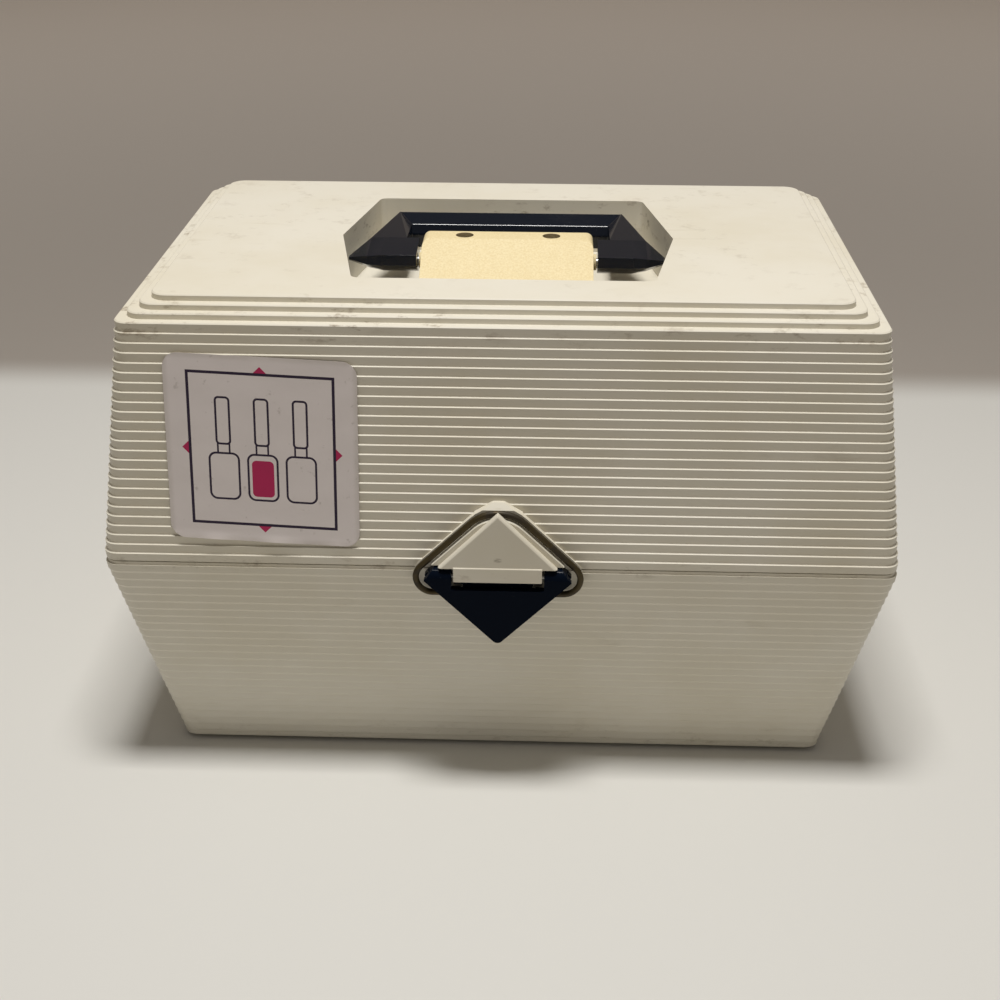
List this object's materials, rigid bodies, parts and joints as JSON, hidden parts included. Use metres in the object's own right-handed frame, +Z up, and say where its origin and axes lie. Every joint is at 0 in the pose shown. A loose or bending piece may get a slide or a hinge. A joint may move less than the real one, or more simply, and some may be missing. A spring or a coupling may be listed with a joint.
{
  "type": "cosmetics carry case",
  "caption": "Ribbed hard-shell carry case with folding top handle, front wire-bail latch, and trays that lift on arms as the lid swings back.",
  "frame": {"origin": "middle of the footprint, on the surface the feet stand on", "axes": "+X to the right seen from the latch side, +Y to the back where the hinges are, +Z up"},
  "size_m": [0.265, 0.2002, 0.1688],
  "materials": {
    "shell_plastic": "ivory moulded plastic, satin, lightly aged",
    "navy_plastic": "navy-black moulded plastic, glossy",
    "aged_plastic": "yellowed cream plastic with a fine moulded grain",
    "bronze_wire": "tarnished bronze-coloured steel wire",
    "bright_steel": "zinc-plated steel",
    "label_paper": "satin printed sticker film",
    "foot_rubber": "soft grey-beige rubber",
    "tray_plastic": "ivory moulded plastic, a little plainer than the shell"
  },
  "bodies": {
    "base": {"base_shell": "shell_plastic", "feet": "foot_rubber", "hinge_pins": "bright_steel", "latch_mount": "navy_plastic", "latch_mount_screws": "bright_steel", "latch_pin": "bright_steel", "arm_pivot_rivets": "bright_steel", "base_dividers": "tray_plastic"},
    "lid": {"lid_shell": "shell_plastic", "latch_keeper": "shell_plastic", "handle_block": "aged_plastic", "handle_block_screws": "bright_steel", "handle_pins": "bright_steel", "label": "label_paper", "lid_bracket_left": "bright_steel", "lid_bracket_right": "bright_steel", "bracket_screws": "bright_steel"},
    "lever": {"latch_lever": "navy_plastic"},
    "bail": {"latch_bail": "bronze_wire"},
    "handle": {"handle": "navy_plastic"},
    "lower_tray": {"lower_tray": "tray_plastic", "lower_tray_rivets": "bright_steel", "lower_tray_dividers": "tray_plastic"},
    "upper_tray": {"upper_tray": "tray_plastic", "upper_tray_rivets": "bright_steel", "upper_tray_dividers": "tray_plastic"},
    "arm_left": {"tray_arm_left": "bright_steel"},
    "arm_right": {"tray_arm_right": "bright_steel"}
  },
  "joints": [
    {"name": "lid_hinge", "type": "hinge", "parent": "base", "child": "lid", "pos_m": [0, 0.0965, 0.0816], "axis": [-1, 0, 0], "range_deg": [0, 100]},
    {"name": "handle_pivot", "type": "hinge", "parent": "lid", "child": "handle", "pos_m": [0, -0.0015, 0.15932], "axis": [1, 0, 0], "range_deg": [0, 90]},
    {"name": "lever_pivot", "type": "hinge", "parent": "base", "child": "lever", "pos_m": [0, -0.0965, 0.0809], "axis": [-1, 0, 0], "range_deg": [0, 90]},
    {"name": "bail_pivot", "type": "hinge", "parent": "lever", "child": "bail", "pos_m": [0, -0.095, 0.0737], "axis": [-1, 0, 0], "range_deg": [-72, 0]},
    {"name": "lower_tray_pivot", "type": "hinge", "parent": "lid", "child": "lower_tray", "pos_m": [0, 0.0685, 0.1016], "axis": [-1, 0, 0], "range_deg": [-100, 0]},
    {"name": "upper_tray_pivot", "type": "hinge", "parent": "lid", "child": "upper_tray", "pos_m": [0, 0.0405, 0.1216], "axis": [-1, 0, 0], "range_deg": [-100, 0]},
    {"name": "arm_left_pivot", "type": "hinge", "parent": "base", "child": "arm_left", "pos_m": [-0.1203, 0.0215, 0.0816], "axis": [-1, 0, 0], "range_deg": [0, 100]},
    {"name": "arm_right_pivot", "type": "hinge", "parent": "base", "child": "arm_right", "pos_m": [0.1203, 0.0215, 0.0816], "axis": [-1, 0, 0], "range_deg": [0, 100]}
  ],
  "couplings": [
    {"joint": "bail_pivot", "follows": "lever_pivot", "ratio": -0.8},
    {"joint": "lower_tray_pivot", "follows": "lid_hinge", "ratio": -1},
    {"joint": "upper_tray_pivot", "follows": "lid_hinge", "ratio": -1},
    {"joint": "arm_left_pivot", "follows": "lid_hinge", "ratio": 1},
    {"joint": "arm_right_pivot", "follows": "lid_hinge", "ratio": 1}
  ]
}
